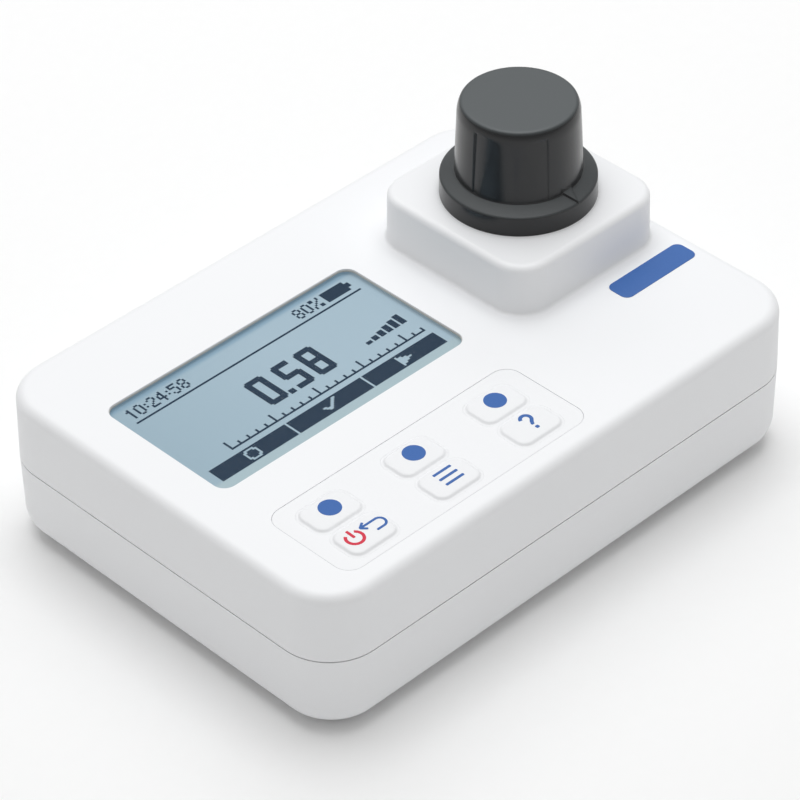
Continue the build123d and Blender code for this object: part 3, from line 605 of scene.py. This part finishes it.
# Back: a line that turns round on itself and ends in an arrow head, in blue.
shaft = bar(-0.04853, -0.03743, -0.04458, -0.03743, 0.00058)
bend = arc((-0.04463, -0.03879), 0.00136, 0.00058, radians(-90), radians(180), 20)
tail = bar(-0.04458, -0.04015, -0.04658, -0.04015, 0.00058)
barb_up = bar(-0.04883, -0.03745, -0.04726, -0.03644, 0.00058)
barb_low = bar(-0.04883, -0.03735, -0.04758, -0.03861, 0.00058)
back_arrow = joined([shaft, bend, tail, barb_up, barb_low])
print_up(back_arrow)
seat(back_arrow, "back_arrow_sign", blue_ink, "key_power_body")

# Menu: three level bars, one above another, in blue.
lines = [bar(-0.02713, y, -0.02208, y, 0.00068) for y in (-0.03643, -0.03833, -0.04023)]
menu = joined(lines)
print_up(menu)
seat(menu, "menu_sign", blue_ink, "key_menu_body")

# Help: a question mark, in blue.
hook = arc((-0.00063, -0.03709), 0.00120, 0.00084, radians(-50), radians(215), 32)
neck = bar(0.00017, -0.03794, -0.00060, -0.03886, 0.00084)
foot = bar(-0.00063, -0.03870, -0.00063, -0.03936, 0.00084)
point = bar(-0.00063, -0.03998, -0.00063, -0.04086, 0.00088)
query = joined([hook, neck, foot, point])
print_up(query)
seat(query, "help_sign", blue_ink, "key_help_body")


# The boards: glass-fibre laminate under green solder mask, with tracks that show as paler lines
# and the parts soldered on top in black moulded epoxy.
board_mask, tree, shader = finish("green_solder_mask", IOR=1.5)
place = add(tree, "ShaderNodeTexCoord")
# Tracks lie on a 1.27 mm pitch.
tracks = add(tree, "ShaderNodeTexBrick", {"Scale": 1.0, "Brick Width": 0.00635, "Row Height": 0.00127,
                                           "Mortar Size": 0.00016, "Color1": linear("#0F4A2C"),
                                           "Color2": linear("#12532F"), "Mortar": linear("#2E7A4A")},
             {"Vector": place.outputs["Object"]})
sheen = add(tree, "ShaderNodeMapRange", {"To Min": 0.3, "To Max": 0.4}, {"Value": tracks.outputs["Fac"]})
bump = add(tree, "ShaderNodeBump", {"Strength": 0.3, "Distance": 0.00004},
           {"Height": tracks.outputs["Fac"]})
tree.links.new(tracks.outputs["Color"], shader.inputs["Base Color"])
tree.links.new(sheen.outputs["Result"], shader.inputs["Roughness"])
tree.links.new(bump.outputs["Normal"], shader.inputs["Normal"])
dress(board_mask, "main_board", "keypad_board", "lamp_board", "detector_board")

chip_epoxy, tree, shader = finish("black_moulded_epoxy", Roughness=0.6)
place = add(tree, "ShaderNodeTexCoord")
speck = add(tree, "ShaderNodeTexNoise", {"Scale": 1000 / 0.3, "Detail": 3.0},
            {"Vector": place.outputs["Object"]})
tone = add(tree, "ShaderNodeMix", {"data_type": "RGBA", 6: linear("#1C1C1E"), 7: linear("#343438")},
           {0: speck.outputs["Fac"]})
tree.links.new(tone.outputs[2], shader.inputs["Base Color"])
dress(chip_epoxy, "tact_switches", "board_chips", "board_link", "buzzer")


# The label in front of the tower: a blue vinyl strip with rounded ends, laid in a shallow pocket
# and left plain.
label_vinyl, tree, shader = finish("blue_label_vinyl", IOR=1.5)
shader.inputs["Specular IOR Level"].default_value = 0.2
place = add(tree, "ShaderNodeTexCoord")
film = add(tree, "ShaderNodeTexNoise", {"Scale": 1000 / 0.5, "Detail": 2.0},
           {"Vector": place.outputs["Object"]})
tone = add(tree, "ShaderNodeMix", {"data_type": "RGBA", 6: linear("#3D67AA"), 7: linear("#456EB0")},
           {0: film.outputs["Fac"]})
sheen = add(tree, "ShaderNodeMapRange", {"To Min": 0.32, "To Max": 0.42}, {"Value": film.outputs["Fac"]})
tree.links.new(tone.outputs[2], shader.inputs["Base Color"])
tree.links.new(sheen.outputs["Result"], shader.inputs["Roughness"])
dress(label_vinyl, "tag_label")


# The optical block round the cuvette well: machined from black acetal and left matt, so that stray
# light dies on it, with fine tool lines across its faces.
block_acetal, tree, shader = finish("matt_black_acetal", Roughness=0.8, IOR=1.48)
place = add(tree, "ShaderNodeTexCoord")
tool = add(tree, "ShaderNodeTexWave", {"wave_type": "BANDS", "bands_direction": "Z", "Scale": 1000 / 3.0,
                                        "Distortion": 0.5}, {"Vector": place.outputs["Object"]})
tone = add(tree, "ShaderNodeMix", {"data_type": "RGBA", 6: linear("#161617"), 7: linear("#1F1F21")},
           {0: tool.outputs["Fac"]})
tree.links.new(tone.outputs[2], shader.inputs["Base Color"])
dress(block_acetal, "optical_block")

lamp_epoxy, tree, shader = finish("clear_lamp_epoxy", IOR=1.54, Roughness=0.05, Alpha=0.45)
place = add(tree, "ShaderNodeTexCoord")
swirl = add(tree, "ShaderNodeTexNoise", {"Scale": 1000 / 4, "Detail": 1.0},
            {"Vector": place.outputs["Object"]})
tone = add(tree, "ShaderNodeMix", {"data_type": "RGBA", 6: linear("#E2ECEF"), 7: linear("#F2F8FA")},
           {0: swirl.outputs["Fac"]})
tree.links.new(tone.outputs[2], shader.inputs["Base Color"])
dress(lamp_epoxy, "lamp_led", "lamp_lens")

# The filter in front of the detector is a disc of coated glass that shows violet with greener rims.
filter_coat, tree, shader = finish("violet_filter_coating", IOR=1.52, Roughness=0.08, Metallic=0.5)
place = add(tree, "ShaderNodeTexCoord")
layers = add(tree, "ShaderNodeTexNoise", {"Scale": 1000 / 5, "Detail": 1.0},
             {"Vector": place.outputs["Object"]})
tone = add(tree, "ShaderNodeMix", {"data_type": "RGBA", 6: linear("#6C4C9C"), 7: linear("#4F7D86")},
           {0: layers.outputs["Fac"]})
tree.links.new(tone.outputs[2], shader.inputs["Base Color"])
dress(filter_coat, "interference_filter")

detector_can, tree, shader = finish("gold_flashed_detector_can", Metallic=1.0)
place = add(tree, "ShaderNodeTexCoord")
press = add(tree, "ShaderNodeTexNoise", {"Scale": 1000 / 0.8, "Detail": 2.0},
            {"Vector": place.outputs["Object"]})
tone = add(tree, "ShaderNodeMix", {"data_type": "RGBA", 6: linear("#C7B98C"), 7: linear("#D9CCA2")},
           {0: press.outputs["Fac"]})
sheen = add(tree, "ShaderNodeMapRange", {"To Min": 0.18, "To Max": 0.32},
            {"Value": press.outputs["Fac"]})
tree.links.new(tone.outputs[2], shader.inputs["Base Color"])
tree.links.new(sheen.outputs["Result"], shader.inputs["Roughness"])
dress(detector_can, "photodetector")


# The cells: three penlight cells side by side in printed shrink sleeves, charcoal with a copper
# band at one end and bare nickel at the terminals, held by sprung leaves of nickelled steel.
cell_sleeve, tree, shader = finish("printed_cell_sleeve", Roughness=0.3)
place = add(tree, "ShaderNodeTexCoord")
axes = add(tree, "ShaderNodeSeparateXYZ", {}, {"Vector": place.outputs["Object"]})
cell_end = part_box("battery_cells")[1][0]
band = add(tree, "ShaderNodeMapRange", {"From Min": cell_end - 0.014, "From Max": cell_end - 0.0138},
           {"Value": axes.outputs["X"]})
scuff = add(tree, "ShaderNodeTexNoise", {"Scale": 1000 / 2, "Detail": 3.0},
            {"Vector": place.outputs["Object"]})
sleeve = add(tree, "ShaderNodeMix", {"data_type": "RGBA", 6: linear("#232528"), 7: linear("#2E3034")},
             {0: scuff.outputs["Fac"]})
tone = add(tree, "ShaderNodeMix", {"data_type": "RGBA", 7: linear("#B0714A")},
           {0: band.outputs["Result"], 6: sleeve.outputs[2]})
tree.links.new(tone.outputs[2], shader.inputs["Base Color"])
dress(cell_sleeve, "battery_cells")

leaf_nickel, tree, shader = finish("nickelled_spring_steel", Metallic=1.0)
place = add(tree, "ShaderNodeTexCoord")
plate = add(tree, "ShaderNodeTexNoise", {"Scale": 1000 / 0.6, "Detail": 2.0},
            {"Vector": place.outputs["Object"]})
tone = add(tree, "ShaderNodeMix", {"data_type": "RGBA", 6: linear("#B5B1A8"), 7: linear("#CCC8BF")},
           {0: plate.outputs["Fac"]})
sheen = add(tree, "ShaderNodeMapRange", {"To Min": 0.18, "To Max": 0.34},
            {"Value": plate.outputs["Fac"]})
tree.links.new(tone.outputs[2], shader.inputs["Base Color"])
tree.links.new(sheen.outputs["Result"], shader.inputs["Roughness"])
dress(leaf_nickel, "battery_contacts")


# The cuvette: a round vial of drawn borosilicate glass with a black moulded stopper and a white
# liner disc in it, standing in the collar of the well.
vial_glass, tree, shader = finish("drawn_borosilicate_glass", IOR=1.47, Roughness=0.02)
shader.inputs["Transmission Weight"].default_value = 0.95
place = add(tree, "ShaderNodeTexCoord")
drawn = add(tree, "ShaderNodeMapping", {"Scale": (1000 / 6, 1000 / 6, 8.0)},
            {"Vector": place.outputs["Object"]})
cord_lines = add(tree, "ShaderNodeTexNoise", {"Scale": 1.0, "Detail": 1.0},
                 {"Vector": drawn.outputs["Vector"]})
tone = add(tree, "ShaderNodeMix", {"data_type": "RGBA", 6: linear("#E9F3F1"), 7: linear("#F6FBFA")},
           {0: cord_lines.outputs["Fac"]})
bump = add(tree, "ShaderNodeBump", {"Strength": 0.05, "Distance": 0.0001},
           {"Height": cord_lines.outputs["Fac"]})
tree.links.new(tone.outputs[2], shader.inputs["Base Color"])
tree.links.new(bump.outputs["Normal"], shader.inputs["Normal"])
dress(vial_glass, "cuvette_glass")

stopper_resin, tree, shader = finish("black_stopper_resin", IOR=1.5)
place = add(tree, "ShaderNodeTexCoord")
gloss = add(tree, "ShaderNodeTexNoise", {"Scale": 1000 / 1.5, "Detail": 2.0},
            {"Vector": place.outputs["Object"]})
tone = add(tree, "ShaderNodeMix", {"data_type": "RGBA", 6: linear("#1F2022"), 7: linear("#2A2B2E")},
           {0: gloss.outputs["Fac"]})
sheen = add(tree, "ShaderNodeMapRange", {"To Min": 0.28, "To Max": 0.4}, {"Value": gloss.outputs["Fac"]})
tree.links.new(tone.outputs[2], shader.inputs["Base Color"])
tree.links.new(sheen.outputs["Result"], shader.inputs["Roughness"])
dress(stopper_resin, "cuvette_cap", "well_collar")

liner_foam, tree, shader = finish("white_liner_foam", Roughness=0.8)
place = add(tree, "ShaderNodeTexCoord")
pores = add(tree, "ShaderNodeTexVoronoi", {"Scale": 1000 / 0.5}, {"Vector": place.outputs["Object"]})
tone = add(tree, "ShaderNodeMix", {"data_type": "RGBA", 6: linear("#D9D8D3"), 7: linear("#EAE9E5")},
           {0: pores.outputs["Distance"]})
tree.links.new(tone.outputs[2], shader.inputs["Base Color"])
dress(liner_foam, "cuvette_cap_liner")


# The light shield: a deep cap moulded in black ABS, with a fine matt grain on its top disc and its
# shoulder, and a glossier drafted wall that is easy to grip. It keeps daylight off the cuvette.
shield_abs, tree, shader = finish("moulded_black_abs", IOR=1.5)
place = add(tree, "ShaderNodeTexCoord")
face = add(tree, "ShaderNodeNewGeometry")
lean = add(tree, "ShaderNodeSeparateXYZ", {}, {"Vector": face.outputs["Normal"]})
level = add(tree, "ShaderNodeMapRange", {"From Min": 0.35, "From Max": 0.85},
            {"Value": lean.outputs["Z"]})
# The grain is about 0.1 mm on the tool and drawn at 0.35 mm so that it shows.
grain = add(tree, "ShaderNodeTexNoise", {"Scale": 1000 / 0.35, "Detail": 2.0},
            {"Vector": place.outputs["Object"]})
wall = add(tree, "ShaderNodeMapRange", {"To Min": 0.18, "To Max": 0.26}, {"Value": grain.outputs["Fac"]})
rough = add(tree, "ShaderNodeMix", {"data_type": "FLOAT", 3: 0.45},
            {0: level.outputs["Result"], 2: wall.outputs["Result"]})
body = add(tree, "ShaderNodeMix", {"data_type": "RGBA", 6: linear("#151618"), 7: linear("#1A1B1D")},
           {0: grain.outputs["Fac"]})
# Painted sheen: the level faces are coloured a lighter grey than the wall for the light they catch from
# above, and the top disc is painted lighter still.
depth = add(tree, "ShaderNodeSeparateXYZ", {}, {"Vector": place.outputs["Object"]})
upper = add(tree, "ShaderNodeMapRange", {"From Min": 0.060, "From Max": 0.064},
            {"Value": depth.outputs["Z"]})
flat = add(tree, "ShaderNodeMix", {"data_type": "RGBA", 6: linear("#404446"), 7: linear("#4C5153")},
           {0: upper.outputs["Result"]})
tone = add(tree, "ShaderNodeMix", {"data_type": "RGBA"},
           {0: level.outputs["Result"], 6: body.outputs[2], 7: flat.outputs[2]})
# The edges of the finger flats are rounded by about 0.7 mm.
rounded = add(tree, "ShaderNodeBevel", {"samples": 8, "Radius": 0.0007})
bump = add(tree, "ShaderNodeBump", {"Strength": 0.15, "Distance": 0.00003},
           {"Height": grain.outputs["Fac"], "Normal": rounded.outputs["Normal"]})
tree.links.new(tone.outputs[2], shader.inputs["Base Color"])
tree.links.new(rough.outputs[0], shader.inputs["Roughness"])
tree.links.new(bump.outputs["Normal"], shader.inputs["Normal"])
dress(shield_abs, "light_shield_cap")
